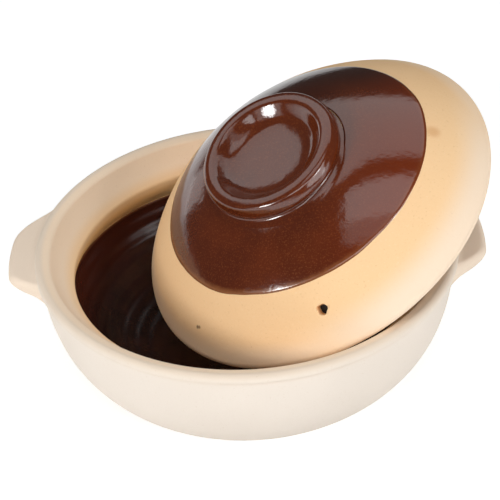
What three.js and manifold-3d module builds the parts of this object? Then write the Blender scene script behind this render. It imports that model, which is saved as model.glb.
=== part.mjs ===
// A lidded clay cooking pot: a thrown bowl with a wide sloping rim and two lug handles, lined with
// brown glaze, and a domed lid with a glazed crown and a dished disc knob.
// The lid leans in the mouth: its low edge is inside the bowl and it touches the throat on both sides.
// Millimetres, +Z up, origin in the middle of the base, lugs along X.

import * as THREE from 'three';
import { mergeVertices } from 'three/addons/utils/BufferGeometryUtils.js';
import Module from 'manifold-3d';

const wasm = await Module();
wasm.setup();

// Fits: clay pieces luted together, and glaze on clay
const LUTE_GAP = 0.3;
const GLAZE_THICKNESS = 0.6;
const LID_CLEARANCE = 0.3;

// Bowl
const RIM_RADIUS = 120;
const POT_HEIGHT = 83;
const BASE_RADIUS = 68.3;
const HEEL_REACH = 39.5;
const HEEL_ANGLE = THREE.MathUtils.degToRad(22.8);
const SIDE_REACH = 37.7;
const SIDE_ANGLE = THREE.MathUtils.degToRad(88.4);
const WALL_THICKNESS = 11;
const FLOOR_THICKNESS = 10;

// Rim: a rounded lip, a hollowed shelf that slopes inwards, and a rounded throat
const LIP_ROUND = 3.2;
const LIP_OVERHANG = 2.5;
const LIP_DEPTH = 6;
const SHELF_HOLLOW = 1.1;
const RIM_WIDTH = 18.4;
const THROAT_ROUND = 6.5;
const THROAT_DEPTH = 14.2;
const GLAZE_LINE_DEPTH = 30.9;

// Lug handles
const LUG_REACH = 15.2;
const LUG_SINK = 3.5;
const LUG_TIP_HALF = 14;
const LUG_ROOT_HALF = 50;
const LUG_THICKNESS = 7;
const LUG_ROUND = 2.2;
const LUG_DROP = 3.2;
const LUG_FLARE = 0.16;

// Lid
const LID_INSET = 12.3;
const DOME_RADIUS = 139.2;
const LID_WALL = 7.6;
const LID_CROWN = 6;
const LID_GLAZE_RADIUS = 80.3;
const CROWN_MARGIN = 5.7;
const CROWN_DROP = 3.2;
const CROWN_SLOPE = THREE.MathUtils.degToRad(6.5);
const VENT_DIAMETER = 6;
const VENT_RADIUS = 92.2;
const VENT_AZIMUTH = THREE.MathUtils.degToRad(273.1);

// Knob
const KNOB_RADIUS = 42.6;
const KNOB_FOOT_RADIUS = 40;
const KNOB_HEIGHT = 10.8;
const KNOB_NECK = 2.8;
const KNOB_SHOULDER = 4.6;
const KNOB_LIP = 8.6;
const DISH_RADIUS = 26;
const DISH_DEPTH = 5.4;

// Pose of the leaning lid: which way its axis leans, how far, and how far its middle stands off the axis
const LID_LEAN = THREE.MathUtils.degToRad(28.6);
const LID_LEAN_AZIMUTH = THREE.MathUtils.degToRad(203.3);
const LID_SHIFT = 43;

// Facets
const TURNED_SIDES = 60;
const ARC_STEPS = 4;
const CURVE_STEPS = 8;
const SEARCH_STEPS = 40;

const buffClay = new THREE.MeshStandardMaterial({ color: 0xe9d3b0, roughness: 0.85, metalness: 0 });
const lidClay = new THREE.MeshStandardMaterial({ color: 0xf0c99a, roughness: 0.8, metalness: 0 });
const brownGlaze = new THREE.MeshStandardMaterial({ color: 0x4a2113, roughness: 0.15, metalness: 0 });

const point = (r, z) => new THREE.Vector2(r, z);

function polar(centre, radius, angle) {
  return point(centre.x + radius * Math.cos(angle), centre.y + radius * Math.sin(angle));
}

function arc(centre, radius, from, to, steps = ARC_STEPS) {
  const stops = Array.from({ length: steps + 1 }, (_, i) => from + ((to - from) * i) / steps);
  return stops.map((angle) => polar(centre, radius, angle));
}

// Turns a profile of (radius, height) points about the Z axis
function turned(profile) {
  return new THREE.LatheGeometry(profile, TURNED_SIDES).rotateX(Math.PI / 2);
}

function toSolid(geometry) {
  const bare = geometry.clone();
  bare.deleteAttribute('normal');
  bare.deleteAttribute('uv');
  const merged = mergeVertices(bare, 1e-4);
  const index = merged.index.array;
  const triangles = [];
  for (let i = 0; i < index.length; i += 3) {
    const [a, b, c] = [index[i], index[i + 1], index[i + 2]];
    if (a !== b && b !== c && c !== a) triangles.push(a, b, c);
  }
  return new wasm.Manifold(new wasm.Mesh({
    numProp: 3,
    vertProperties: new Float32Array(merged.attributes.position.array),
    triVerts: new Uint32Array(triangles),
  }));
}

function fromSolid(solid) {
  const mesh = solid.getMesh();
  const geometry = new THREE.BufferGeometry();
  geometry.setAttribute('position', new THREE.BufferAttribute(mesh.vertProperties, 3));
  geometry.setIndex(new THREE.BufferAttribute(mesh.triVerts, 1));
  geometry.computeVertexNormals();
  return geometry;
}

function piece(name, geometry, material) {
  const mesh = new THREE.Mesh(geometry, material);
  mesh.name = name;
  return mesh;
}

// The bowl's outside rises from the heel to the shoulder under the lip
const heel = point(BASE_RADIUS, 0);
const shoulder = point(RIM_RADIUS - LIP_OVERHANG, POT_HEIGHT - LIP_DEPTH);
const outerWall = new THREE.CubicBezierCurve(
  heel,
  polar(heel, HEEL_REACH, HEEL_ANGLE),
  polar(shoulder, -SIDE_REACH, SIDE_ANGLE),
  shoulder,
);

// A point on the bowl's inside at a place along the outer wall, sunk into the clay by a depth
function innerWall(t, sunk = 0) {
  const onWall = outerWall.getPoint(t);
  const along = outerWall.getTangent(t);
  const inset = WALL_THICKNESS - sunk;
  return point(onWall.x - along.y * inset, onWall.y + along.x * inset);
}

// The place along the outer wall whose inside lies at a given height
function placeAtHeight(height) {
  let low = 0;
  let high = 1;
  for (let i = 0; i < SEARCH_STEPS; i += 1) {
    const middle = (low + high) / 2;
    if (innerWall(middle).y < height) low = middle;
    else high = middle;
  }
  return low;
}

// The bowl's inside from its middle to a place on the wall, sunk into the clay by a depth
function bowlInside(sunk, end) {
  const start = placeAtHeight(FLOOR_THICKNESS + WALL_THICKNESS / 4);
  const floorEdge = point(BASE_RADIUS - WALL_THICKNESS, FLOOR_THICKNESS - sunk);
  const rise = Array.from(
    { length: CURVE_STEPS + 1 },
    (_, i) => innerWall(start + ((end - start) * i) / CURVE_STEPS, sunk),
  );
  return [point(0, FLOOR_THICKNESS - sunk), floorEdge, ...rise];
}

// The rim's section from the shoulder over the lip and down the shelf to the throat
const lipCentre = point(RIM_RADIUS - LIP_ROUND, POT_HEIGHT - LIP_ROUND);
const throatCentre = point(RIM_RADIUS - RIM_WIDTH + THROAT_ROUND, POT_HEIGHT - THROAT_DEPTH);
const shelfRun = lipCentre.clone().sub(throatCentre);
const shelfSlope = shelfRun.angle() - Math.asin((THROAT_ROUND - LIP_ROUND) / shelfRun.length());
const shelfNormal = Math.PI / 2 + shelfSlope;
const shelfTop = polar(lipCentre, LIP_ROUND, shelfNormal);
const shelfFoot = polar(throatCentre, THROAT_ROUND, shelfNormal);
const shelfHollow = polar(shelfTop.clone().lerp(shelfFoot, 0.5), -2 * SHELF_HOLLOW, shelfNormal);
const rimSection = [
  ...arc(lipCentre, LIP_ROUND, -Math.PI / 8, shelfNormal),
  ...new THREE.QuadraticBezierCurve(shelfTop, shelfHollow, shelfFoot).getPoints(ARC_STEPS).slice(1, -1),
  ...arc(throatCentre, THROAT_ROUND, shelfNormal, Math.PI),
];
const outside = outerWall.getPoints(CURVE_STEPS);

const glazeLine = placeAtHeight(POT_HEIGHT - GLAZE_LINE_DEPTH);
const glazeSeat = GLAZE_THICKNESS + LUTE_GAP;

function potBody() {
  const bed = bowlInside(glazeSeat, glazeLine).reverse();
  return turned([point(0, 0), ...outside, ...rimSection, innerWall(glazeLine), ...bed]);
}

// The lining stops just short of the step at the glaze line
function potLining() {
  const rise = outerWall.getLength() * 0.5;
  const edge = glazeLine - LUTE_GAP / rise;
  return turned([...bowlInside(GLAZE_THICKNESS, edge), ...bowlInside(0, edge).reverse()]);
}

// A lug is a flat tab whose plan swells from the wall, cut to the bowl's outside
function lugHandle(side) {
  const tipRadius = RIM_RADIUS + LUG_REACH;
  const rootRadius = RIM_RADIUS - LUG_SINK;
  const stations = Array.from({ length: 4 * CURVE_STEPS + 1 }, (_, i) => i / (2 * CURVE_STEPS) - 1);
  const edge = stations.map((share) => {
    const along = share * LUG_ROOT_HALF;
    const swell = 1 - THREE.MathUtils.smoothstep(Math.abs(along), LUG_TIP_HALF, LUG_ROOT_HALF);
    const reach = THREE.MathUtils.lerp(rootRadius, tipRadius, swell);
    return polar(point(0, 0), reach, along / RIM_RADIUS);
  });
  const rootDepth = rootRadius - WALL_THICKNESS;
  const rootAngle = LUG_ROOT_HALF / RIM_RADIUS;
  const plan = new THREE.Shape([
    ...edge,
    polar(point(0, 0), rootDepth, rootAngle),
    polar(point(0, 0), rootDepth, -rootAngle),
  ]);
  const tab = new THREE.ExtrudeGeometry(plan, {
    depth: LUG_THICKNESS - 2 * LUG_ROUND,
    bevelThickness: LUG_ROUND,
    bevelSize: LUG_ROUND,
    bevelOffset: -LUG_ROUND,
    bevelSegments: 3,
  });
  const top = POT_HEIGHT - LUG_DROP;
  tab.translate(0, 0, top - LUG_THICKNESS + LUG_ROUND);
  const place = tab.attributes.position;
  for (let i = 0; i < place.count; i += 1) {
    const inset = tipRadius - Math.hypot(place.getX(i), place.getY(i));
    const belowTop = (top - place.getZ(i)) / LUG_THICKNESS;
    place.setZ(i, place.getZ(i) - belowTop * Math.max(inset, 0) * LUG_FLARE);
  }
  const blank = [...outside, ...rimSection.slice(0, ARC_STEPS + 1)].map((p) => point(p.x + LUTE_GAP, p.y));
  const bowl = toSolid(turned([point(0, 0), ...blank, point(0, shelfTop.y)]));
  const solid = toSolid(tab).subtract(bowl);
  const geometry = fromSolid(solid);
  return side > 0 ? geometry : geometry.rotateZ(Math.PI);
}

// The lid is part of a sphere whose edge is rounded over the full wall, with a flatter crown.
// Its own frame has the edge circle in the plane Z = 0.
const edgeRound = LID_WALL / 2;
const lidRadius = RIM_RADIUS - LID_INSET;
const edgeRadius = lidRadius - edgeRound;
const domeCentre = point(0, -Math.sqrt((DOME_RADIUS - edgeRound) ** 2 - edgeRadius ** 2));
const edgeCentre = point(edgeRadius, 0);
const edgeAngle = edgeCentre.clone().sub(domeCentre).angle();

// The angle above the horizontal, seen from the dome's centre, of a point at a distance from the axis
function domeAngle(radius, sphere) {
  return Math.acos(radius / sphere);
}

function domeHeight(radius, sphere) {
  return domeCentre.y + Math.sqrt(sphere ** 2 - radius ** 2);
}

// The crown leaves the sphere just outside the glaze and flattens towards the knob's foot
const crownAngle = domeAngle(LID_GLAZE_RADIUS + CROWN_MARGIN, DOME_RADIUS);
const crownEdge = polar(domeCentre, DOME_RADIUS, crownAngle);
const crownTop = point(KNOB_FOOT_RADIUS, domeHeight(KNOB_FOOT_RADIUS, DOME_RADIUS) - CROWN_DROP);
const crownReach = crownEdge.distanceTo(crownTop) / 3;
const crown = new THREE.CubicBezierCurve(
  crownEdge,
  polar(crownEdge, crownReach, crownAngle + Math.PI / 2),
  polar(crownTop, crownReach, -CROWN_SLOPE),
  crownTop,
);

// A point on the crown at a place along it, sunk into the lid by a depth
function onCrown(t, sunk) {
  const along = crown.getTangent(t);
  const place = crown.getPoint(t);
  return point(place.x - along.y * sunk, place.y + along.x * sunk);
}

// The place along the crown at a distance from the axis, sunk by a depth
function crownPlace(radius, sunk) {
  let low = 0;
  let high = 1;
  for (let i = 0; i < SEARCH_STEPS; i += 1) {
    const middle = (low + high) / 2;
    if (onCrown(middle, sunk).x > radius) low = middle;
    else high = middle;
  }
  return low;
}

function crownStretch(outer, inner, sunk) {
  const [from, to] = [crownPlace(outer, sunk), crownPlace(inner, sunk)];
  const stops = Array.from({ length: CURVE_STEPS - 1 }, (_, i) => from + ((to - from) * i) / (CURVE_STEPS - 2));
  return stops.map((t) => onCrown(t, sunk));
}

const knobSeat = onCrown(1, glazeSeat).y;
const crownUnder = knobSeat - LID_CROWN;
const innerSphere = DOME_RADIUS - LID_WALL;
const crownUnderRadius = Math.sqrt(innerSphere ** 2 - (crownUnder - domeCentre.y) ** 2);

function lidBody() {
  const shell = turned([
    point(0, crownUnder),
    ...arc(domeCentre, innerSphere, domeAngle(crownUnderRadius, innerSphere), edgeAngle, CURVE_STEPS - 2),
    ...arc(edgeCentre, edgeRound, edgeAngle - Math.PI, edgeAngle, ARC_STEPS + 2).slice(1, -1),
    ...arc(domeCentre, DOME_RADIUS, edgeAngle, crownAngle),
    onCrown(crownPlace(LID_GLAZE_RADIUS, 0), 0),
    ...crownStretch(LID_GLAZE_RADIUS, 0, glazeSeat),
    point(0, knobSeat),
  ]);
  const drill = new THREE.CylinderGeometry(VENT_DIAMETER / 2, VENT_DIAMETER / 2, 4 * LID_WALL, 16);
  drill.rotateZ(domeAngle(VENT_RADIUS, DOME_RADIUS) - Math.PI / 2);
  drill.translate(VENT_RADIUS, domeHeight(VENT_RADIUS, DOME_RADIUS), 0);
  drill.rotateX(Math.PI / 2);
  drill.rotateZ(VENT_AZIMUTH);
  return fromSolid(toSolid(shell).subtract(toSolid(drill)));
}

// The lid's glaze runs from the knob's foot to a clean edge on the dome
function lidGlaze() {
  const inner = KNOB_FOOT_RADIUS + LUTE_GAP;
  const outer = LID_GLAZE_RADIUS - LUTE_GAP;
  const face = crownStretch(outer, inner, 0);
  const back = crownStretch(outer, inner, GLAZE_THICKNESS).reverse();
  return turned([...face, ...back, face[0]]);
}

// The knob stands on the flat of the crown: a grooved neck, a rounded rim and a dished top
function lidKnob() {
  const base = knobSeat + LUTE_GAP;
  const top = base + KNOB_HEIGHT;
  const dish = top - DISH_DEPTH;
  const neck = base + KNOB_NECK;
  const brim = point(KNOB_RADIUS - KNOB_LIP / 2, top);
  const side = new THREE.CubicBezierCurve(
    point(KNOB_FOOT_RADIUS, neck),
    point(KNOB_RADIUS + KNOB_NECK / 2, neck),
    point(KNOB_RADIUS, top - KNOB_SHOULDER / 2),
    point(brim.x + KNOB_SHOULDER / 2, top - KNOB_SHOULDER / 8),
  );
  const hollow = new THREE.CubicBezierCurve(
    point(brim.x - KNOB_SHOULDER / 2, top - KNOB_SHOULDER / 8),
    point(KNOB_RADIUS - KNOB_LIP, top - KNOB_SHOULDER / 4),
    point(KNOB_RADIUS - KNOB_LIP, dish),
    point(DISH_RADIUS, dish),
  );
  return turned([
    point(0, base),
    point(KNOB_FOOT_RADIUS, base),
    ...side.getPoints(CURVE_STEPS - 2),
    brim,
    ...hollow.getPoints(CURVE_STEPS - 2),
    point(0, dish),
  ]);
}

// Lowers the leaning lid until its rounded edge is one clearance from the rim, and gives its height
const leanAxis = new THREE.Vector3(-Math.sin(LID_LEAN_AZIMUTH), Math.cos(LID_LEAN_AZIMUTH), 0);
const leanTurn = new THREE.Quaternion().setFromAxisAngle(leanAxis, LID_LEAN);
const lidMiddle = new THREE.Vector3(LID_SHIFT, 0, 0).applyAxisAngle(
  new THREE.Vector3(0, 0, 1),
  LID_LEAN_AZIMUTH + Math.PI,
);

function lidRestHeight() {
  const edge = Array.from({ length: 8 * TURNED_SIDES }, (_, i) => {
    const angle = (2 * Math.PI * i) / (8 * TURNED_SIDES);
    const onEdge = new THREE.Vector3(edgeRadius * Math.cos(angle), edgeRadius * Math.sin(angle), 0);
    return onEdge.applyQuaternion(leanTurn).add(lidMiddle);
  });
  const rimLine = new THREE.CatmullRomCurve3(rimSection.map((p) => new THREE.Vector3(p.x, p.y, 0)));
  const rimPoints = rimLine.getPoints(CURVE_STEPS * rimSection.length);
  const gapAt = (height) => Math.min(...edge.map((p) => {
    const radius = Math.hypot(p.x, p.y);
    return Math.min(...rimPoints.map((q) => Math.hypot(radius - q.x, p.z + height - q.y)));
  })) - edgeRound;
  let height = POT_HEIGHT + lidRadius;
  let step = height / SEARCH_STEPS;
  while (step > LID_CLEARANCE / SEARCH_STEPS) {
    if (gapAt(height - step) > LID_CLEARANCE) height -= step;
    else step /= 2;
  }
  return height;
}

const pot = new THREE.Group();
pot.add(
  piece('pot_body', potBody(), buffClay),
  piece('left_lug', lugHandle(-1), buffClay),
  piece('right_lug', lugHandle(1), buffClay),
  piece('pot_lining', potLining(), brownGlaze),
);

const lid = new THREE.Group();
lid.quaternion.copy(leanTurn);
lid.position.copy(lidMiddle).setZ(lidRestHeight());
lid.add(
  piece('lid_body', lidBody(), lidClay),
  piece('lid_glaze', lidGlaze(), brownGlaze),
  piece('lid_knob', lidKnob(), brownGlaze),
);

const clayPot = new THREE.Group();
clayPot.add(pot, lid);

export default clayPot;
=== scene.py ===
import math

import bpy
from mathutils import Matrix, Quaternion, Vector


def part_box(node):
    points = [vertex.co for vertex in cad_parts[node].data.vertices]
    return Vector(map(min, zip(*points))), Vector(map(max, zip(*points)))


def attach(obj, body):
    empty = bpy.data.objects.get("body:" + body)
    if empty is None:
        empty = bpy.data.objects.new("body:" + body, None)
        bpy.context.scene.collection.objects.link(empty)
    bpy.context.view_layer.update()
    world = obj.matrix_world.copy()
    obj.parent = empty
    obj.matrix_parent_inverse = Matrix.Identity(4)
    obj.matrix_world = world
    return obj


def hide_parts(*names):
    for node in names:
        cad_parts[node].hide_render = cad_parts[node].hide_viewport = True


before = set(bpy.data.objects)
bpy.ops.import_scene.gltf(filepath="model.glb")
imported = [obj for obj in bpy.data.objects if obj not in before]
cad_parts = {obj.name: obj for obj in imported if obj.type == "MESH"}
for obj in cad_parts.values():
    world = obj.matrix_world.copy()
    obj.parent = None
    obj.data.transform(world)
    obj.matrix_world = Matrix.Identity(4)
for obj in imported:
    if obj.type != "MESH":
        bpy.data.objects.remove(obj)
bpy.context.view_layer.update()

# The bowl: thrown on a wheel from sandy buff clay and left bare outside, so it is pale and matt.
# Its rim is turned to a broad rounded lip, a hollowed shelf for the lid and a crisp throat.
# The shelf fired warmer than the wall. The throat and the band under it are warmer still, partly the clay
# and partly painted bounce light from the lid's orange clay, with painted shade in the band down to the glaze
# line.
MM = 0.001
RIM_RADIUS = 120.0
POT_HEIGHT = 83.0
BASE_RADIUS = 68.3
HEEL_REACH = 39.5
HEEL_ANGLE = math.radians(22.8)
SIDE_REACH = 37.7
SIDE_ANGLE = math.radians(88.4)
WALL_THICKNESS = 11.0
FLOOR_THICKNESS = 10.0
FLOOR_FLAT = 30.0
CORNER_RISE = 20.0
CORNER_REACH = (28.0, 19.0)
HEEL_SHARE = 0.04
LIP_ROUND = 3.2
LIP_START = math.radians(-15)
LIP_FLAT = 3.4
LIP_FALL = 0.8
LIP_OVERHANG = 2.5
LIP_DEPTH = 6.0
SHELF_HOLLOW = 1.2
RIM_WIDTH = 21.0
THROAT_ROUND = 2.6
THROAT_DEPTH = 17.6
GLAZE_LINE_DEPTH = 30.9
# Shares of the wall's length: the clay lies flush from above the glaze's line to below it, then its bed is sunk.
GLAZE_LAP = 0.004
GLAZE_BED = 0.03
UNDER_GLAZE = 0.9


def curve(a, b, c, d, steps):
    points = []
    for i in range(steps + 1):
        t = i / steps
        w = ((1 - t) ** 3, 3 * t * (1 - t) ** 2, 3 * t * t * (1 - t), t ** 3)
        points.append(sum((Vector(p) * k for p, k in zip((a, b, c, d), w)), Vector((0, 0))))
    return points


def arc(centre, radius, start, end, steps):
    angles = [start + (end - start) * i / steps for i in range(steps + 1)]
    return [Vector(centre) + radius * Vector((math.cos(a), math.sin(a))) for a in angles]


HEEL = Vector((BASE_RADIUS, 0))
SHOULDER = Vector((RIM_RADIUS - LIP_OVERHANG, POT_HEIGHT - LIP_DEPTH))
WALL = (
    HEEL,
    HEEL + HEEL_REACH * Vector((math.cos(HEEL_ANGLE), math.sin(HEEL_ANGLE))),
    SHOULDER - SIDE_REACH * Vector((math.cos(SIDE_ANGLE), math.sin(SIDE_ANGLE))),
    SHOULDER,
)


# A place on the wall, from the heel at 0 to the shoulder at 1: sunk by 0 it is on the inner face,
# and sunk by the wall's thickness it is on the outer one.
def inner_wall(t, sunk=0.0):
    a, b, c, d = WALL
    place = (1 - t) ** 3 * a + 3 * t * (1 - t) ** 2 * b + 3 * t * t * (1 - t) * c + t ** 3 * d
    along = (1 - t) ** 2 * (b - a) + 2 * t * (1 - t) * (c - b) + t * t * (d - c)
    along.normalize()
    return place + (WALL_THICKNESS - sunk) * Vector((-along.y, along.x))


def place_at_height(height):
    low, high = 0.0, 1.0
    for _ in range(40):
        middle = (low + high) / 2
        if inner_wall(middle).y < height:
            low = middle
        else:
            high = middle
    return low


def bowl_inside(sunk, end):
    steps = 60
    start = place_at_height(FLOOR_THICKNESS + CORNER_RISE)
    edge = Vector((FLOOR_FLAT, FLOOR_THICKNESS - sunk))
    rise = [inner_wall(start + (end - start) * i / steps, sunk) for i in range(steps + 1)]
    slope = (rise[1] - rise[0]).normalized()
    low, high = CORNER_REACH
    corner = curve(edge, edge + Vector((low, 0)), rise[0] - high * slope, rise[0], 40)
    floor = [Vector((edge.x * i / 8, edge.y)) for i in range(8)]
    return floor + corner + rise[1:]


LIP_CENTRE = Vector((RIM_RADIUS - LIP_ROUND, POT_HEIGHT - LIP_ROUND))
THROAT_CENTRE = Vector((RIM_RADIUS - RIM_WIDTH + THROAT_ROUND, POT_HEIGHT - THROAT_DEPTH))
LIP_INSIDE = LIP_CENTRE - Vector((LIP_FLAT, LIP_FALL))
LIP_LEAN = math.pi / 2 + math.atan2(LIP_FALL, LIP_FLAT)
SHELF_RUN = LIP_INSIDE - THROAT_CENTRE
SHELF_SLOPE = math.atan2(SHELF_RUN.y, SHELF_RUN.x)
SHELF_SLOPE += math.asin((LIP_ROUND - THROAT_ROUND) / SHELF_RUN.length)
SHELF_NORMAL = math.pi / 2 + SHELF_SLOPE
GLAZE_LINE = place_at_height(POT_HEIGHT - GLAZE_LINE_DEPTH)


def bowl_profile():
    base = [Vector((r, 0)) for r in (0, 22, 44)]
    heel_end = inner_wall(HEEL_SHARE, WALL_THICKNESS)
    heel = curve(HEEL - Vector((4, 0)), HEEL - Vector((1.2, 0)), HEEL, heel_end, 8)
    wall = [inner_wall(HEEL_SHARE + (1 - HEEL_SHARE) * i / 70, WALL_THICKNESS) for i in range(1, 71)]
    lip = arc(LIP_CENTRE, LIP_ROUND, LIP_START, LIP_LEAN, 16)
    lip += arc(LIP_INSIDE, LIP_ROUND, LIP_LEAN, SHELF_NORMAL, 10)
    up = Vector((math.cos(SIDE_ANGLE), math.sin(SIDE_ANGLE)))
    neck = curve(SHOULDER, SHOULDER + 1.2 * up, lip[0] - Vector((0.26, 0.97)), lip[0], 8)
    throat = arc(THROAT_CENTRE, THROAT_ROUND, SHELF_NORMAL, math.pi, 14)
    sink = -1.34 * SHELF_HOLLOW * Vector((math.cos(SHELF_NORMAL), math.sin(SHELF_NORMAL)))
    high, low = (lip[-1].lerp(throat[0], share) + sink for share in (0.36, 0.64))
    shelf = curve(lip[-1], high, low, throat[0], 22)
    line = inner_wall(GLAZE_LINE + GLAZE_LAP)
    band = curve(throat[-1], throat[-1] - Vector((0, 6)), line + Vector((-2.8, 4.2)), line, 16)
    lower = [inner_wall(GLAZE_LINE + GLAZE_LAP - (GLAZE_LAP + GLAZE_BED) * i / 6) for i in range(1, 7)]
    bed = list(reversed(bowl_inside(UNDER_GLAZE, GLAZE_LINE - GLAZE_BED)))
    return base + heel + wall + neck[1:] + lip[1:] + shelf[1:] + throat[1:] + band[1:] + lower + bed


def add_node(tree, kind, inputs=None, **settings):
    node = tree.nodes.new(kind)
    for key, value in settings.items():
        setattr(node, key, value)
    for key, value in (inputs or {}).items():
        if isinstance(value, bpy.types.NodeSocket):
            tree.links.new(value, node.inputs[key])
        else:
            node.inputs[key].default_value = value
    return node


def calc(tree, operation, a, b=0.0, c=0.0):
    return add_node(tree, "ShaderNodeMath", {0: a, 1: b, 2: c}, operation=operation).outputs[0]


# One tree turns every thrown piece: each point of the profile is carried round the axis, the radius wanders
# a little as a hand-thrown wall does, and points with a "sway" value drift to make an uneven edge.
WHEEL_INPUTS = (
    ("Facets Around", "NodeSocketInt", 256),
    ("Out Of Round", "NodeSocketFloat", 0.002),
    ("Edge Wave", "NodeSocketFloat", 0.0),
    ("Edge Waves Around", "NodeSocketFloat", 3.0),
    ("Edge Shift", "NodeSocketVector", (0, 0, 0)),
    ("Edge Direction", "NodeSocketVector", (1, 0, 0)),
    ("Lean", "NodeSocketRotation", (0, 0, 0)),
    ("Place", "NodeSocketVector", (0, 0, 0)),
    ("Finish", "NodeSocketMaterial", None),
)


def make_wheel():
    tree = bpy.data.node_groups.new("throw_on_wheel", "GeometryNodeTree")
    tree.interface.new_socket("Profile", in_out="INPUT", socket_type="NodeSocketGeometry")
    for label, kind, value in WHEEL_INPUTS:
        socket = tree.interface.new_socket(label, in_out="INPUT", socket_type=kind)
        if value is not None:
            socket.default_value = value
    tree.interface.new_socket("Piece", in_out="OUTPUT", socket_type="NodeSocketGeometry")
    given = tree.nodes.new("NodeGroupInput").outputs
    count = add_node(tree, "GeometryNodeAttributeDomainSize", {0: given["Profile"]}).outputs["Point Count"]
    around = calc(tree, "ADD", given["Facets Around"], 1.0)
    grid = add_node(
        tree, "GeometryNodeMeshGrid",
        {"Size X": 1.0, "Size Y": 1.0, "Vertices X": count, "Vertices Y": around},
    )
    here = add_node(tree, "GeometryNodeInputPosition").outputs[0]
    flat = add_node(tree, "ShaderNodeSeparateXYZ", {0: here}).outputs
    row = calc(tree, "MULTIPLY", calc(tree, "ADD", flat["X"], 0.5), calc(tree, "SUBTRACT", count, 1.0))
    row = calc(tree, "ROUND", row)
    angle = calc(tree, "MULTIPLY", calc(tree, "ADD", flat["Y"], 0.5), 2 * math.pi)
    cosine = calc(tree, "COSINE", angle)
    sine = calc(tree, "SINE", angle)
    spot = add_node(
        tree, "GeometryNodeSampleIndex", {"Geometry": given["Profile"], "Value": here, "Index": row},
        data_type="FLOAT_VECTOR", domain="POINT",
    ).outputs[0]
    spot = add_node(tree, "ShaderNodeSeparateXYZ", {0: spot}).outputs
    sway = add_node(tree, "GeometryNodeInputNamedAttribute", {"Name": "sway"}, data_type="FLOAT").outputs[0]
    sway = add_node(
        tree, "GeometryNodeSampleIndex", {"Geometry": given["Profile"], "Value": sway, "Index": row},
        data_type="FLOAT", domain="POINT",
    ).outputs[0]
    climb = calc(tree, "MULTIPLY", spot["Z"], 9.0)
    ring = add_node(tree, "ShaderNodeCombineXYZ", {0: cosine, 1: sine, 2: climb})
    slow = add_node(tree, "ShaderNodeTexNoise", {"Vector": ring.outputs[0], "Scale": 0.9, "Detail": 1.0})
    wander = calc(tree, "MULTIPLY", calc(tree, "SUBTRACT", slow.outputs[0], 0.5), given["Out Of Round"])
    radius = calc(tree, "MULTIPLY", spot["X"], calc(tree, "ADD", wander, 1.0))
    circle = add_node(tree, "ShaderNodeCombineXYZ", {0: cosine, 1: sine, 2: 0.37})
    wave = add_node(
        tree, "ShaderNodeTexNoise",
        {"Vector": circle.outputs[0], "Scale": given["Edge Waves Around"], "Detail": 2.0},
    )
    drift = calc(tree, "MULTIPLY", calc(tree, "SUBTRACT", wave.outputs[0], 0.5), given["Edge Wave"])
    shift = add_node(tree, "ShaderNodeSeparateXYZ", {0: given["Edge Shift"]}).outputs
    drift = calc(tree, "MULTIPLY_ADD", shift["X"], cosine, drift)
    drift = calc(tree, "MULTIPLY_ADD", shift["Y"], sine, drift)
    drift = calc(tree, "MULTIPLY", drift, sway)
    way = add_node(tree, "ShaderNodeSeparateXYZ", {0: given["Edge Direction"]}).outputs
    radius = calc(tree, "MULTIPLY_ADD", drift, way["X"], radius)
    height = calc(tree, "MULTIPLY_ADD", drift, way["Z"], spot["Z"])
    turned = add_node(
        tree, "ShaderNodeCombineXYZ",
        {0: calc(tree, "MULTIPLY", radius, cosine), 1: calc(tree, "MULTIPLY", radius, sine), 2: height},
    ).outputs[0]
    shaped = add_node(tree, "GeometryNodeSetPosition", {"Geometry": grid.outputs["Mesh"], "Position": turned})
    welded = add_node(tree, "GeometryNodeMergeByDistance", {"Geometry": shaped.outputs[0], "Distance": 2e-6})
    smooth = add_node(
        tree, "GeometryNodeSetShadeSmooth", {"Geometry": welded.outputs[0], "Shade Smooth": True})
    posed = add_node(
        tree, "GeometryNodeTransform",
        {"Geometry": smooth.outputs[0], "Translation": given["Place"], "Rotation": given["Lean"]},
    )
    outward = add_node(tree, "GeometryNodeFlipFaces", {0: posed.outputs[0]})
    real = add_node(tree, "GeometryNodeRealizeInstances", {0: outward.outputs[0]})
    done = add_node(
        tree, "GeometryNodeSetMaterial", {"Geometry": real.outputs[0], "Material": given["Finish"]})
    tree.links.new(done.outputs[0], tree.nodes.new("NodeGroupOutput").inputs[0])
    return tree


WHEEL = make_wheel()


def settle(piece, modifier, finish):
    bpy.context.view_layer.update()
    solid = bpy.data.meshes.new_from_object(piece.evaluated_get(bpy.context.evaluated_depsgraph_get()))
    piece.modifiers.remove(modifier)
    piece.data = solid
    solid.name = piece.name
    solid.materials.clear()
    solid.materials.append(finish)
    solid.polygons.foreach_set("material_index", [0] * len(solid.polygons))


def throw_piece(name, profile, sway=None, **values):
    mesh = bpy.data.meshes.new(name)
    joins = [(i, i + 1) for i in range(len(profile) - 1)]
    mesh.from_pydata([(p.x * MM, 0, p.y * MM) for p in profile], joins, [])
    if sway is not None:
        layer = mesh.attributes.new("sway", "FLOAT", "POINT")
        layer.data.foreach_set("value", sway)
    piece = bpy.data.objects.new(name, mesh)
    bpy.context.scene.collection.objects.link(piece)
    turning = piece.modifiers.new("throw_on_wheel", "NODES")
    turning.node_group = WHEEL
    for item in WHEEL.interface.items_tree:
        if item.in_out == "INPUT" and item.name in values:
            turning[item.identifier] = values[item.name]
    settle(piece, turning, values["Finish"])
    return piece


def start_finish(name, roughness, specular):
    finish = bpy.data.materials.new(name)
    finish.use_nodes = True
    tree = finish.node_tree
    shader = tree.nodes["Principled BSDF"]
    shader.inputs["Roughness"].default_value = roughness
    shader.inputs["Specular IOR Level"].default_value = specular
    return finish, tree, shader


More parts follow.
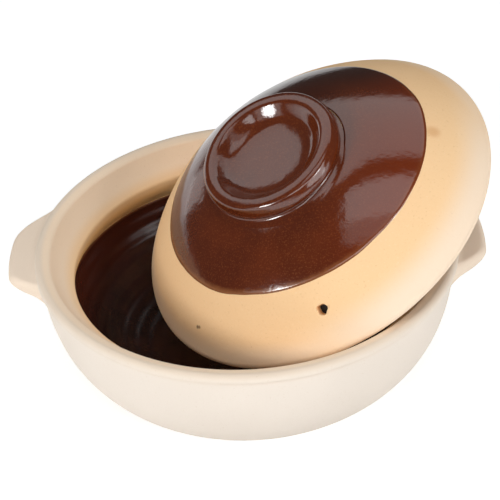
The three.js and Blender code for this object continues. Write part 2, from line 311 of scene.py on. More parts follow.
def blend_colours(tree, share, first, second):
    mix = add_node(tree, "ShaderNodeMix", data_type="RGBA")
    for socket, value in zip((mix.inputs[0], mix.inputs[6], mix.inputs[7]), (share, first, second)):
        if isinstance(value, bpy.types.NodeSocket):
            tree.links.new(value, socket)
        else:
            socket.default_value = value if socket.type == "VALUE" else (*value, 1)
    return mix.outputs[2]


def ramp(tree, value, low, high, to_low=0.0, to_high=1.0):
    return add_node(
        tree, "ShaderNodeMapRange",
        {"Value": value, "From Min": low, "From Max": high, "To Min": to_low, "To Max": to_high},
        interpolation_type="SMOOTHSTEP",
    ).outputs[0]


def grain(tree, place, scale, detail=3.0, rough=0.55):
    return add_node(
        tree, "ShaderNodeTexNoise",
        {"Vector": place, "Scale": scale, "Detail": detail, "Roughness": rough},
    ).outputs[0]


def roughen(tree, shader, height, strength, distance):
    bump = add_node(tree, "ShaderNodeBump", {"Height": height, "Strength": strength, "Distance": distance})
    tree.links.new(bump.outputs[0], shader.inputs["Normal"])


def find_place(tree, pose=None):
    place = add_node(tree, "ShaderNodeTexCoord").outputs["Object"]
    if pose:
        unturn = add_node(tree, "ShaderNodeMapping", {"Vector": place, **pose}, vector_type="TEXTURE")
        place = unturn.outputs[0]
    return place


def from_axis(tree, axes):
    squares = [calc(tree, "MULTIPLY", axes[way], axes[way]) for way in "XY"]
    return calc(tree, "SQRT", calc(tree, "ADD", *squares))


def towards(tree, axes, degrees):
    angle = math.radians(degrees)
    shares = (("X", math.cos(angle)), ("Y", math.sin(angle)))
    return calc(tree, "ADD", *(calc(tree, "MULTIPLY", axes[way], share) for way, share in shares))


# The bowl's tones, from dim to bright, and where they change: heights and reaches from the axis, in metres.
WALL_TONES = ((0.80, 0.71, 0.615), (0.86, 0.78, 0.695))
LIP_TONE = (0.79, 0.665, 0.535)
LIP_HEIGHTS, LIP_REACHES = (0.0740, 0.0815), (0.1212, 0.1182)
RIM_TONES = ((0.89, 0.695, 0.505), (0.95, 0.775, 0.59))
SHELF_HEIGHTS, SHELF_REACHES = (0.0700, 0.0730), (0.1175, 0.1140)
INNER_HEIGHTS, INNER_REACHES = (0.0480, 0.0510), (0.1120, 0.1090)
# Partly painted light: the throat's warmth is partly painted bounce from the lid, the band's deeper orange
# partly painted shade.
THROAT_CLAY_AND_BOUNCE_TONES = ((0.88, 0.60, 0.34), (0.92, 0.66, 0.39))
THROAT_CLAY_AND_BOUNCE_HEIGHTS = (0.0725, 0.0660)
BAND_CLAY_BOUNCE_AND_SHADE_TONES = ((0.88, 0.52, 0.22), (0.92, 0.58, 0.26))
BAND_CLAY_AND_SHADE_HEIGHTS = (0.0665, 0.0600)
SAND_TONE = (0.62, 0.47, 0.33)


def make_pot_clay(name, tones):
    finish, tree, shader = start_finish(name, 0.82, 0.25)
    place = find_place(tree)
    axes = add_node(tree, "ShaderNodeSeparateXYZ", {0: place}).outputs
    reach = from_axis(tree, axes)
    cloud = grain(tree, place, 14.0, 2.0)
    lip = calc(tree, "MULTIPLY", ramp(tree, axes["Z"], *LIP_HEIGHTS), ramp(tree, reach, *LIP_REACHES))
    shelf = calc(tree, "MULTIPLY", ramp(tree, reach, *SHELF_REACHES), ramp(tree, axes["Z"], *SHELF_HEIGHTS))
    inner = calc(tree, "MULTIPLY", ramp(tree, reach, *INNER_REACHES), ramp(tree, axes["Z"], *INNER_HEIGHTS))
    inner = calc(tree, "MAXIMUM", inner, shelf)
    # Painted bounce light in the throat and painted shade in the band below it, over the warmer clay.
    throat = calc(tree, "MULTIPLY", inner, ramp(tree, axes["Z"], *THROAT_CLAY_AND_BOUNCE_HEIGHTS))
    band = calc(tree, "MULTIPLY", inner, ramp(tree, axes["Z"], *BAND_CLAY_AND_SHADE_HEIGHTS))
    colour = blend_colours(tree, lip, blend_colours(tree, cloud, *tones), LIP_TONE)
    for share, warmer in ((inner, RIM_TONES), (throat, THROAT_CLAY_AND_BOUNCE_TONES), (band, BAND_CLAY_BOUNCE_AND_SHADE_TONES)):
        colour = blend_colours(tree, share, colour, blend_colours(tree, cloud, *warmer))
    sand = grain(tree, place, 900.0, 2.0, 0.7)
    colour = blend_colours(tree, ramp(tree, sand, 0.62, 0.78, 0.0, 0.35), colour, SAND_TONE)
    tree.links.new(colour, shader.inputs["Base Color"])
    roughen(tree, shader, grain(tree, place, 420.0, 3.0), 0.18, 0.0006)
    return finish


POT_CLAY = make_pot_clay("pot_clay", WALL_TONES)
bowl = throw_piece(
    "bowl_clay", bowl_profile(), **{"Facets Around": 288, "Out Of Round": 0.003, "Finish": POT_CLAY})
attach(bowl, "pot")
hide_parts("pot_body")

# The lug handles: flat tabs of the same clay, pressed on under the lip on the left and right.
# Their roots are smoothed into the wall, and their edges are rounded with a wet finger.
LUG_REACH = 15.0
# Lengths along the rim from the lug's middle, back end first: where its tip starts to curve in, and its end.
LUG_PLANS = {-1: ((12.0, 52.5), (17.0, 40.3)), 1: ((16.4, 52.2), (9.9, 39.5))}
LUG_SINK = (0.2, 3.0)
LUG_FADE = 3.2
LUG_FRONT, LUG_BACK = -44.0, 54.0
LUG_THICKNESS = 7.2
LUG_DROP = 3.0
LUG_FLARE = 0.16
LUG_EDGE = 3.5
LUG_HIDDEN_RADIUS = 112.6
# By the wall the top sweeps up and the underside down: how far, from which radius and over what run.
LUG_SWEEP_UP = (1.5, 118.6, 4.2)
LUG_SWEEP_DOWN = (3.6, 116.6, 7.0)
# In the wall the top is tucked down between two radii, to stay under the shelf.
LUG_TUCK = 3.2
LUG_TUCK_RADII = (118.4, 115.0)
LUG_TONES = ((0.83, 0.68, 0.54), (0.88, 0.74, 0.60))
LUG_CLAY = make_pot_clay("lug_clay", LUG_TONES)


def smoothstep(low, high, value):
    t = min(max((value - low) / (high - low), 0.0), 1.0)
    return t * t * (3 - 2 * t)


def sweep(r, amount, start, run):
    return amount * (1 - min(max((r - start) / run, 0.0), 1.0)) ** 2


def lug_rise(r):
    return sweep(r, *LUG_SWEEP_UP) - LUG_TUCK * smoothstep(*LUG_TUCK_RADII, r)


def lug_sag(r):
    return LUG_FLARE * (RIM_RADIUS + LUG_REACH - r) + sweep(r, *LUG_SWEEP_DOWN)


def lug_section(along, side):
    end = 0 if along > 0 else 1
    flat, root = LUG_PLANS[side][end]
    sink = LUG_SINK[end]
    swell = 1 - smoothstep(flat, root, abs(along))
    fade = LUG_FADE * smoothstep(root - 11, root - 1, along)
    tip = RIM_RADIUS + (LUG_REACH + sink) * swell - sink - fade
    top = POT_HEIGHT - LUG_DROP
    centre = Vector((tip - LUG_EDGE, top - LUG_THICKNESS / 2))
    section = []
    for i in range(19):
        r = LUG_HIDDEN_RADIUS + (centre.x - LUG_HIDDEN_RADIUS) * i / 18
        section.append(Vector((r, top + lug_rise(r))))
    for i in range(1, 14):
        angle = math.pi / 2 - math.pi * i / 14
        r = centre.x + LUG_EDGE * math.cos(angle)
        z = centre.y + LUG_THICKNESS / 2 * math.sin(angle)
        share = (1 - math.sin(angle)) / 2
        section.append(Vector((r, z + lug_rise(r) * (1 - share) - lug_sag(r) * share)))
    for i in range(19):
        r = centre.x - (centre.x - LUG_HIDDEN_RADIUS) * i / 18
        section.append(Vector((r, top - LUG_THICKNESS - lug_sag(r))))
    return section


def press_lug(name, side):
    stations = [LUG_FRONT + (LUG_BACK - LUG_FRONT) * i / 96 for i in range(97)]
    rings = [lug_section(along, side) for along in stations]
    size = len(rings[0])
    points = []
    for along, ring in zip(stations, rings):
        angle = along / RIM_RADIUS if side > 0 else math.pi - along / RIM_RADIUS
        points += [(p.x * MM * math.cos(angle), p.x * MM * math.sin(angle), p.y * MM) for p in ring]
    faces = [tuple(range(size)), tuple(reversed(range(len(points) - size, len(points))))]
    for i in range(len(rings) - 1):
        for j in range(size):
            a, b = i * size + j, i * size + (j + 1) % size
            faces.append((a, a + size, b + size, b))
    if side > 0:
        faces = [tuple(reversed(face)) for face in faces]
    mesh = bpy.data.meshes.new(name)
    mesh.from_pydata(points, [], faces)
    mesh.polygons.foreach_set("use_smooth", [i > 1 for i in range(len(faces))])
    mesh.materials.append(LUG_CLAY)
    lug = bpy.data.objects.new(name, mesh)
    bpy.context.scene.collection.objects.link(lug)
    return lug


for name, side, node in (("lug_clay_left", -1, "left_lug"), ("lug_clay_right", 1, "right_lug")):
    lug = press_lug(name, side)
    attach(lug, "pot")
    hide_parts(node)

# The bowl's lining: a dark brown glaze poured in and swilled round, up to a clean line under the throat.
# It lies thicker in the bottom, where it is nearly black, which is also painted shade; up the side it is painted
# redder and lighter, partly its own colour and partly painted light. It shows the rings of the throwing under
# it.
LINING_PROUD = 0.25
LINING_UNDER = 0.6
LINING_UNDER_END = 0.012
LINING_FACE_END = 0.006
LINING_ROLL = (0.002, 0.0022)
LINING_BITE = 0.2
RING_HEIGHT = 0.1
RING_SPACING = 8.0
LINING_TONES = ((0.034, 0.0115, 0.009), (0.016, 0.008, 0.0075), (0.055, 0.018, 0.011))
LINING_SIDE_GLAZE_AND_LIGHT_TONE = (0.080, 0.018, 0.009)
LINING_SIDE_GLAZE_AND_LIGHT_HEIGHTS = (0.020, 0.044)
LINING_EDGE_TONE = (0.16, 0.055, 0.02)
LINING_EDGE_HEIGHTS = (0.0505, 0.0522)


def lining_profile():
    under = bowl_inside(LINING_UNDER, GLAZE_LINE - LINING_UNDER_END)
    face = bowl_inside(-LINING_PROUD, GLAZE_LINE - LINING_FACE_END)
    travelled = 0.0
    ringed = [face[0]]
    for last, now in zip(face, face[1:]):
        travelled += (now - last).length
        across = (now - last).normalized()
        lift = RING_HEIGHT * math.sin(2 * math.pi * travelled / RING_SPACING)
        lift *= smoothstep(8, 30, travelled)
        ringed.append(now + lift * Vector((-across.y, across.x)))
    half_way, over = (GLAZE_LINE + reach for reach in LINING_ROLL)
    edge = [
        inner_wall(over, LINING_BITE),
        inner_wall(half_way, -LINING_PROUD / 2),
        inner_wall(GLAZE_LINE, -LINING_PROUD),
    ]
    profile = under + edge + list(reversed(ringed))
    sway = [smoothstep(40, 50, p.y) for p in profile]
    return profile, sway


def make_brown_glaze(name, tones, roughness, shine, pose=None):
    finish, tree, shader = start_finish(name, roughness, shine)
    thin, thick, speck = tones
    place = find_place(tree, pose)
    cloud = grain(tree, place, 30.0, 3.0)
    colour = blend_colours(tree, ramp(tree, cloud, 0.35, 0.65), thin, thick)
    fine = grain(tree, place, 1100.0, 2.0, 0.6)
    colour = blend_colours(tree, ramp(tree, fine, 0.50, 0.72, 0.0, 0.45), colour, speck)
    return finish, tree, shader, place, colour, fine


def make_lining_glaze():
    finish, tree, shader, place, colour, _ = make_brown_glaze("lining_glaze", LINING_TONES, 0.18, 0.30)
    height = add_node(tree, "ShaderNodeSeparateXYZ", {0: place}).outputs["Z"]
    # Partly painted light and shade: lighter and redder up the side wall where light falls, darkest in the
    # shaded bottom.
    side = ramp(tree, height, *LINING_SIDE_GLAZE_AND_LIGHT_HEIGHTS, 0.0, 0.75)
    colour = blend_colours(tree, side, colour, LINING_SIDE_GLAZE_AND_LIGHT_TONE)
    colour = blend_colours(tree, ramp(tree, height, *LINING_EDGE_HEIGHTS), colour, LINING_EDGE_TONE)
    tree.links.new(colour, shader.inputs["Base Color"])
    roughen(tree, shader, grain(tree, place, 160.0, 2.0), 0.08, 0.0008)
    return finish


profile, sway = lining_profile()
lining = throw_piece(
    "bowl_glaze", profile, sway,
    **{"Facets Around": 288, "Out Of Round": 0.003, "Edge Wave": 0.0014, "Edge Waves Around": 2.6,
       "Edge Direction": (0, 0, 1), "Finish": make_lining_glaze()},
)
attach(lining, "pot")
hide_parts("pot_lining")

# The lid: a shallow dome thrown from a warmer, sandier clay, with its edge rolled round.
# It has one steam vent, poked through by hand near the edge while the clay was soft.
# It leans in the mouth, with its low edge in the bowl.
LID_RADIUS = 107.7
DOME_RADIUS = 139.2
LID_WALL = 7.6
LID_CROWN = 6.0
KNOB_SEAT_RADIUS = 40.0
CROWN_RADIUS = 86.0
CROWN_DROP = 3.2
CROWN_SLOPE = math.radians(6.5)
VENT_RADIUS = 92.2
VENT_AZIMUTH = math.radians(273.1)
VENT_WIDTH = 6.3
VENT_ROUND = VENT_WIDTH / 2.3
LID_LEAN = math.radians(28.6)
LID_LEAN_AZIMUTH = math.radians(203.3)
LID_SHIFT = 43.0
LEAN_AXIS = Vector((-math.sin(LID_LEAN_AZIMUTH), math.cos(LID_LEAN_AZIMUTH), 0))
LEAN = Quaternion(LEAN_AXIS, LID_LEAN)
EDGE_ROUND = LID_WALL / 2
EDGE_RADIUS = LID_RADIUS - EDGE_ROUND
DOME_CENTRE = Vector((0, -math.sqrt((DOME_RADIUS - EDGE_ROUND) ** 2 - EDGE_RADIUS ** 2)))
EDGE_ANGLE = math.atan2(-DOME_CENTRE.y, EDGE_RADIUS)
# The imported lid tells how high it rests: its lowest point is the bottom of the rolled edge.
LID_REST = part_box("lid_body")[0].z / MM + EDGE_RADIUS * math.sin(LID_LEAN) + EDGE_ROUND
LID_PLACE = MM * Vector((
    -LID_SHIFT * math.cos(LID_LEAN_AZIMUTH), -LID_SHIFT * math.sin(LID_LEAN_AZIMUTH), LID_REST))
LID_POSE = Matrix.Translation(LID_PLACE) @ LEAN.to_matrix().to_4x4()
LID_TURN = {"Location": LID_PLACE, "Rotation": LEAN.to_euler()}


def dome_angle(radius, sphere):
    return math.acos(radius / sphere)


def dome_height(radius):
    return DOME_CENTRE.y + math.sqrt(DOME_RADIUS ** 2 - radius ** 2)


CROWN_ANGLE = dome_angle(CROWN_RADIUS, DOME_RADIUS)
CROWN_EDGE = DOME_CENTRE + DOME_RADIUS * Vector((math.cos(CROWN_ANGLE), math.sin(CROWN_ANGLE)))
CROWN_TOP = Vector((KNOB_SEAT_RADIUS, dome_height(KNOB_SEAT_RADIUS) - CROWN_DROP))
CROWN_REACH = (CROWN_EDGE - CROWN_TOP).length / 3
CROWN = (
    CROWN_EDGE,
    CROWN_EDGE + CROWN_REACH * Vector((-math.sin(CROWN_ANGLE), math.cos(CROWN_ANGLE))),
    CROWN_TOP + CROWN_REACH * Vector((math.cos(CROWN_SLOPE), -math.sin(CROWN_SLOPE))),
    CROWN_TOP,
)
KNOB_SEAT = CROWN_TOP.y - UNDER_GLAZE


def on_crown(outer, inner, sunk, steps):
    line = curve(*CROWN, 400)
    sunken = []
    for here, there in zip(line, line[1:]):
        along = (there - here).normalized()
        sunken.append(here + sunk * Vector((-along.y, along.x)))
    stretch = [p for p in sunken if inner <= p.x <= outer]
    return [stretch[round(i * (len(stretch) - 1) / steps)] for i in range(steps + 1)]


def lid_profile():
    inner = DOME_RADIUS - LID_WALL
    crown = KNOB_SEAT - LID_CROWN
    crown_edge = math.sqrt(inner ** 2 - (crown - DOME_CENTRE.y) ** 2)
    under = arc(DOME_CENTRE, inner, dome_angle(crown_edge, inner), EDGE_ANGLE, 40)
    roll = arc((EDGE_RADIUS, 0), EDGE_ROUND, EDGE_ANGLE - math.pi, EDGE_ANGLE, 26)
    dome = arc(DOME_CENTRE, DOME_RADIUS, EDGE_ANGLE, CROWN_ANGLE, 40)
    top = on_crown(CROWN_RADIUS, KNOB_SEAT_RADIUS, 0, 40)
    ceiling = [Vector((crown_edge * i / 10, crown)) for i in range(10)]
    seat = [Vector((KNOB_SEAT_RADIUS * (1 - i / 6), KNOB_SEAT)) for i in range(7)]
    return ceiling + under + roll[1:-1] + dome + top[1:] + seat


LID_TONES = ((0.88, 0.565, 0.295), (0.93, 0.64, 0.36))
LID_SAND_TONES = ((0.62, 0.36, 0.17), (0.92, 0.70, 0.45))
# Painted light: the clay is paler towards the lower right, where the front-right lamp falls, and round the
# rolled edge.
LID_PAINTED_LIGHT_TONE = (0.90, 0.74, 0.58)
LID_PAINTED_LIGHT_AZIMUTH = 318
# Two pits in the front and a smear beside the glaze: radius, azimuth, size, strength and tone.
LID_MARKS = (
    (97.6, 222.0, 1.6, 0.85, (0.13, 0.065, 0.03)),
    (97.3, 222.9, 1.4, 0.85, (0.2, 0.1, 0.045)),
    (84.5, 355.6, 6.0, 0.55, (0.66, 0.33, 0.13)),
)


def make_lid_clay():
    finish, tree, shader = start_finish("sandy_lid_clay", 0.78, 0.3)
    place = find_place(tree, LID_TURN)
    cloud = grain(tree, place, 16.0, 3.0)
    colour = blend_colours(tree, cloud, *LID_TONES)
    sand = grain(tree, place, 800.0, 2.0, 0.7)
    dark, light = LID_SAND_TONES
    colour = blend_colours(tree, ramp(tree, sand, 0.60, 0.76, 0.0, 0.35), colour, dark)
    colour = blend_colours(tree, ramp(tree, sand, 0.42, 0.26, 0.0, 0.3), colour, light)
    axes = add_node(tree, "ShaderNodeSeparateXYZ", {0: place}).outputs
    reach = from_axis(tree, axes)
    # Painted light: paler towards the lower right where the front-right lamp falls, and round the rolled edge
    # facing the table.
    painted_light = ramp(tree, towards(tree, axes, LID_PAINTED_LIGHT_AZIMUTH), 0.040, 0.100)
    painted_light = calc(tree, "MULTIPLY", painted_light, ramp(tree, reach, 0.092, 0.105, 0.0, 0.85))
    painted_light = calc(tree, "MAXIMUM", painted_light, ramp(tree, reach, 0.098, 0.106, 0.0, 0.5))
    colour = blend_colours(tree, painted_light, colour, LID_PAINTED_LIGHT_TONE)
    for radius, azimuth, size, share, tone in LID_MARKS:
        angle = math.radians(azimuth)
        spot = Vector((radius * math.cos(angle), radius * math.sin(angle), dome_height(radius))) * MM
        away = add_node(tree, "ShaderNodeVectorMath", {0: place, 1: spot}, operation="DISTANCE")
        mark = ramp(tree, away.outputs["Value"], size * MM, 0.2 * size * MM, 0.0, share)
        colour = blend_colours(tree, mark, colour, tone)
    tree.links.new(colour, shader.inputs["Base Color"])
    roughen(tree, shader, grain(tree, place, 380.0, 3.0), 0.2, 0.0006)
    return finish


LID_CLAY = make_lid_clay()
LID_SETTING = {"Lean": LEAN.to_euler(), "Place": LID_PLACE}
lid = throw_piece(
    "lid_dome", lid_profile(),
    **{"Facets Around": 288, "Out Of Round": 0.002, "Finish": LID_CLAY, **LID_SETTING})


def poke_vent(piece):
    sides, rows = 28, 9
    lean = dome_angle(VENT_RADIUS, DOME_RADIUS)
    points = []
    for j in range(rows):
        depth = -LID_WALL * 1.6 + LID_WALL * 2.2 * j / (rows - 1)
        flare = 1 + 0.18 * smoothstep(-1.2, 1.2, depth)
        for i in range(sides):
            angle = 2 * math.pi * i / sides
            lump = 1 + 0.07 * math.sin(3 * angle + 0.6) + 0.05 * math.sin(5 * angle + 2.0)
            width = VENT_ROUND * flare * lump
            points.append(Vector((depth, width * math.cos(angle), width * math.sin(angle))))
    out = Vector((math.cos(lean), 0, math.sin(lean)))
    side = Vector((0, 1, 0))
    up = out.cross(side)
    spin = Matrix.Rotation(VENT_AZIMUTH, 3, "Z")
    start = Vector((VENT_RADIUS, 0, dome_height(VENT_RADIUS)))
    placed = [LID_POSE @ (spin @ (start + p.x * out + p.y * side + p.z * up) * MM) for p in points]
    faces = [tuple(reversed(range(sides))), tuple(range((rows - 1) * sides, rows * sides))]
    for j in range(rows - 1):
        for i in range(sides):
            a, b = j * sides + i, j * sides + (i + 1) % sides
            faces.append((a, b, b + sides, a + sides))
    mesh = bpy.data.meshes.new("vent_stick")
    mesh.from_pydata(placed, [], faces)
    mesh.materials.append(LID_CLAY)
    stick = bpy.data.objects.new("vent_stick", mesh)
    bpy.context.scene.collection.objects.link(stick)
    cut = piece.modifiers.new("vent", "BOOLEAN")
    cut.operation = "DIFFERENCE"
    cut.solver = "EXACT"
    cut.object = stick
    settle(piece, cut, LID_CLAY)
    bpy.data.objects.remove(stick)


poke_vent(lid)
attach(lid, "lid")
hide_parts("lid_body")

# The lid's glaze: the crown was dipped in the same brown glaze, to an even edge a little off centre.
# It thins to a warmer brown at that edge and lies darker at the back; on the right it is painted redder, as
# painted light where the front-right lamp falls.
LID_GLAZE_RADIUS = 80.4
LID_GLAZE_INNER = 40.4
LID_GLAZE_PROUD = 0.35
LID_GLAZE_UNDER = 0.5
LID_GLAZE_ROLL = 0.9
LID_GLAZE_BITE = 0.08
LID_GLAZE_SLOPE = 0.66
LID_GLAZE_SHIFT = (1.46 * MM, 0.97 * MM, 0)
LID_GLAZE_TONES = ((0.108, 0.020, 0.0055), (0.086, 0.016, 0.005), (0.23, 0.062, 0.016))
LID_GLAZE_EDGE_TONE = (0.27, 0.10, 0.035)
LID_GLAZE_BACK_TONE = (0.024, 0.006, 0.0025)
LID_GLAZE_BACK_AZIMUTH = 75
LID_GLAZE_PAINTED_LIGHT_TONE = (0.160, 0.022, 0.0025)
LID_GLAZE_PAINTED_LIGHT_AZIMUTH = -20


def lid_glaze_profile():
    face = on_crown(LID_GLAZE_RADIUS - LID_GLAZE_ROLL, LID_GLAZE_INNER, -LID_GLAZE_PROUD, 40)
    roll = []
    for i in range(7):
        share = i / 6
        height = LID_GLAZE_PROUD * (1 - share ** 2) - LID_GLAZE_BITE * share
        radius = LID_GLAZE_RADIUS - LID_GLAZE_ROLL * (1 - share)
        roll += on_crown(radius + 0.3, radius - 0.3, -height, 2)[1:2]
    back = on_crown(LID_GLAZE_RADIUS, LID_GLAZE_INNER, LID_GLAZE_UNDER, 30)
    profile = list(reversed(face)) + roll[1:] + back
    profile.append(profile[0].copy())
    profile.reverse()
    sway = [smoothstep(50, 76, p.x) for p in profile]
    return profile, sway


def make_lid_glaze():
    finish, tree, shader, place, colour, fine = make_brown_glaze(
        "lid_glaze_brown", LID_GLAZE_TONES, 0.1, 0.8, LID_TURN)
    shift = Vector(LID_GLAZE_SHIFT)
    shifted = add_node(tree, "ShaderNodeVectorMath", {0: place, 1: shift}, operation="SUBTRACT")
    axes = add_node(tree, "ShaderNodeSeparateXYZ", {0: shifted.outputs[0]}).outputs
    ragged = calc(tree, "MULTIPLY_ADD", grain(tree, place, 260.0, 2.0), 0.0016, from_axis(tree, axes))
    back = towards(tree, axes, LID_GLAZE_BACK_AZIMUTH)
    right = towards(tree, axes, LID_GLAZE_PAINTED_LIGHT_AZIMUTH)
    colour = blend_colours(tree, ramp(tree, ragged, 0.0782, 0.0812, 0.0, 0.75), colour, LID_GLAZE_EDGE_TONE)
    colour = blend_colours(tree, ramp(tree, back, 0.026, 0.066, 0.0, 0.85), colour, LID_GLAZE_BACK_TONE)
    # Painted light: the glaze is redder on the right, where the front-right lamp falls on it.
    colour = blend_colours(tree, ramp(tree, right, 0.025, 0.075, 0.0, 0.7), colour, LID_GLAZE_PAINTED_LIGHT_TONE)
    tree.links.new(colour, shader.inputs["Base Color"])
    ripple = calc(tree, "MULTIPLY_ADD", grain(tree, place, 190.0, 2.0), 5.0, fine)
    roughen(tree, shader, ripple, 0.05, 0.0005)
    return finish


LID_GLAZE = make_lid_glaze()
profile, sway = lid_glaze_profile()
crown = throw_piece(
    "lid_crown_glaze", profile, sway,
    **{"Facets Around": 360, "Out Of Round": 0.0, "Edge Wave": 0.0022, "Edge Waves Around": 2.2,
       "Edge Shift": LID_GLAZE_SHIFT, "Edge Direction": Vector((1, 0, -LID_GLAZE_SLOPE)).normalized(),
       "Finish": LID_GLAZE, **LID_SETTING},
)
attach(crown, "lid")
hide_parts("lid_glaze")

# The knob: a thrown disc luted to the crown and glazed with it.
# It has a grooved foot to get the fingers under, a fat rounded rim and a dished top.
KNOB_FOOT = ((48.5, 41.9), (46.4, 42.8), (44.6, 43.5), (43.0, 44.4), (42.1, 45.4))
KNOB_GROOVE = ((42.0, 46.2), (42.9, 46.8), (43.9, 47.6))
KNOB_SIDE = ((44.3, 49.0), (44.2, 50.8), (43.6, 52.7), (42.6, 54.7))
KNOB_CREST = ((41.0, 55.8), (38.6, 56.2), (36.2, 56.1), (34.8, 55.6))
KNOB_DISH = ((33.8, 54.8), (32.6, 53.6), (31.2, 52.2), (29.7, 50.8), (28.0, 49.5), (25.4, 48.3))
KNOB_HOLLOW = ((22.0, 47.6), (17.3, 47.2), (10.0, 47.0), (0.0, 46.9))
KNOB_OUTLINE = KNOB_FOOT + KNOB_GROOVE + KNOB_SIDE + KNOB_CREST + KNOB_DISH + KNOB_HOLLOW
KNOB_FOOT_HEIGHT = KNOB_FOOT[0][1]
KNOB_SHIFT = 1.67
KNOB_OVAL = 0.921


def through(points, steps):
    smooth = []
    ends = [points[0]] + list(points) + [points[-1]]
    for a, b, c, d in zip(ends, ends[1:], ends[2:], ends[3:]):
        a, b, c, d = (Vector(p) for p in (a, b, c, d))
        smooth += curve(b, b + (c - a) / 6, c - (d - b) / 6, c, steps)[:-1]
    return smooth + [Vector(points[-1])]


knob_profile = [Vector((r, KNOB_FOOT_HEIGHT)) for r in (0, 15, 30, 44)] + through(KNOB_OUTLINE, 7)
knob = throw_piece(
    "lid_knob_glazed", knob_profile,
    **{"Facets Around": 256, "Out Of Round": 0.012, "Finish": LID_GLAZE, **LID_SETTING})
downhill = Matrix.Rotation(LID_LEAN_AZIMUTH, 4, "Z")
pushed = downhill @ Matrix.Translation((KNOB_SHIFT * MM, 0, 0))
pushed = pushed @ Matrix.Diagonal((KNOB_OVAL, 1, 1, 1)) @ downhill.inverted()
knob.data.transform(LID_POSE @ pushed @ LID_POSE.inverted())
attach(knob, "lid")
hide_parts("lid_knob")

# The studio: a white table, and wide soft lamps over the pot, behind it and in front.
# Small bright cores before the front ones make the sharp lights in the glaze.
# Two cards, at the right and the back left, lift the shade there.
FLOOR_SIZE = 12.0
FLOOR_GLOW = 0.45
ROOM_LIGHT = 0.06


def make_floor():
    finish, tree, shader = start_finish("white_table", 0.9, 0.0)
    shader.inputs["Base Color"].default_value = (0.9, 0.9, 0.9, 1)
    path = add_node(tree, "ShaderNodeLightPath").outputs
    seen = calc(tree, "MAXIMUM", path["Is Camera Ray"], path["Is Glossy Ray"])
    seen = calc(tree, "MAXIMUM", seen, path["Is Transmission Ray"])
    shader.inputs["Emission Color"].default_value = (1, 1, 1, 1)
    tree.links.new(calc(tree, "MULTIPLY", seen, FLOOR_GLOW), shader.inputs["Emission Strength"])
    mesh = bpy.data.meshes.new("table_top")
    half = FLOOR_SIZE / 2
    corners = [(-half, -half, 0), (half, -half, 0), (half, half, 0), (-half, half, 0)]
    mesh.from_pydata(corners, [], [(0, 1, 2, 3)])
    mesh.materials.append(finish)
    table = bpy.data.objects.new("table_top", mesh)
    bpy.context.scene.collection.objects.link(table)
    return table


make_floor()

# Each lamp: where it hangs, the point it faces, its roll in degrees, its width and height, its watts.
POT_MIDDLE = (0, 0, 0.08)
LAMPS = (
    ("softbox_over_back", (-0.33, 0.97, 1.28), (-0.33, 0.97, 0), 0, (2.10, 1.30), 9.0),
    ("softbox_overhead", (0.02, -0.13, 1.28), (0.02, -0.13, 0), 0, (0.80, 0.44), 1.5),
    ("softbox_overhead_front", (0.02, -0.50, 1.28), (0.02, -0.50, 0), 0, (0.80, 0.30), 0.5),
    ("softbox_front_left", (-0.838, -0.755, 0.47), POT_MIDDLE, 33, (0.95, 0.40), 1.2),
    ("wide_core_front_left", (-0.846, -0.761, 0.461), POT_MIDDLE, 0, (0.42, 0.34), 1.0),
    ("core_front_left", (-0.810, -0.728, 0.445), POT_MIDDLE, 0, (0.32, 0.25), 4.3),
    ("softbox_front", (0.03, -0.98, 0.84), POT_MIDDLE, 0, (0.90, 0.34), 2.8),
    ("softbox_front_right", (0.845, -0.672, 0.606), POT_MIDDLE, 0, (0.85, 0.75), 5.1),
    ("core_front_right", (0.80, -0.62, 0.71), POT_MIDDLE, 0, (0.26, 0.16), 1.5),
    ("card_right", (1.02, -0.30, 0.26), POT_MIDDLE, 0, (0.40, 0.40), 0.8),
    ("card_back_left", (-0.83, 0.86, 0.20), POT_MIDDLE, 0, (0.30, 0.34), 0.32),
)
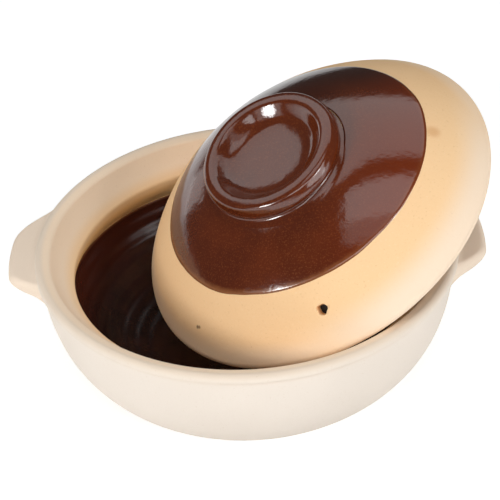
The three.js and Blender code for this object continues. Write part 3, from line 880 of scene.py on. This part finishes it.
for name, place, aim, roll, size, power in LAMPS:
    light = bpy.data.lights.new(name, "AREA")
    light.shape = "RECTANGLE"
    light.size, light.size_y = size
    light.energy = power
    lamp = bpy.data.objects.new(name, light)
    lamp.location = place
    facing = (Vector(place) - Vector(aim)).to_track_quat("Z", "Y")
    lamp.rotation_euler = (facing @ Quaternion((0, 0, 1), math.radians(roll))).to_euler()
    lamp.visible_camera = False
    bpy.context.scene.collection.objects.link(lamp)

world = bpy.data.worlds.new("studio")
world.use_nodes = True
sky = world.node_tree.nodes["Background"].inputs
sky["Color"].default_value = (1, 1, 1, 1)
sky["Strength"].default_value = ROOM_LIGHT
bpy.context.scene.world = world
bpy.context.scene.view_settings.view_transform = "Standard"

# The camera looks down on the pot from in front, with a long lens and a slight tilt.
CAMERA_PIXELS = 500.0
CAMERA_FOCAL = 1684.4
CAMERA_DISTANCE = 0.9784
CAMERA_AIM_HEIGHT = 0.0407
CAMERA_ELEVATION = 0.6685
CAMERA_AZIMUTH = math.radians(2.0)
CAMERA_ROLL = -0.0627
CAMERA_AIM = (-0.4, 47.1)
back = Vector((math.cos(CAMERA_ELEVATION) * math.sin(CAMERA_AZIMUTH),
               -math.cos(CAMERA_ELEVATION) * math.cos(CAMERA_AZIMUTH), math.sin(CAMERA_ELEVATION)))
level = Vector((math.cos(CAMERA_AZIMUTH), math.sin(CAMERA_AZIMUTH), 0))
upward = level.cross(-back)
right = math.cos(CAMERA_ROLL) * level + math.sin(CAMERA_ROLL) * upward
up = math.cos(CAMERA_ROLL) * upward - math.sin(CAMERA_ROLL) * level
gaze = (-back + up * CAMERA_AIM[1] / CAMERA_FOCAL - right * CAMERA_AIM[0] / CAMERA_FOCAL).normalized()
up = (up - gaze * up.dot(gaze)).normalized()
lens = bpy.data.cameras.new("camera")
lens.sensor_width = 36.0
lens.lens = CAMERA_FOCAL / CAMERA_PIXELS * lens.sensor_width
lens.clip_start = 0.05
camera = bpy.data.objects.new("camera", lens)
stand = Matrix((gaze.cross(up), up, -gaze)).transposed().to_4x4()
stand.translation = Vector((0, 0, CAMERA_AIM_HEIGHT)) + back * CAMERA_DISTANCE
camera.matrix_world = stand
bpy.context.scene.collection.objects.link(camera)
bpy.context.scene.camera = camera
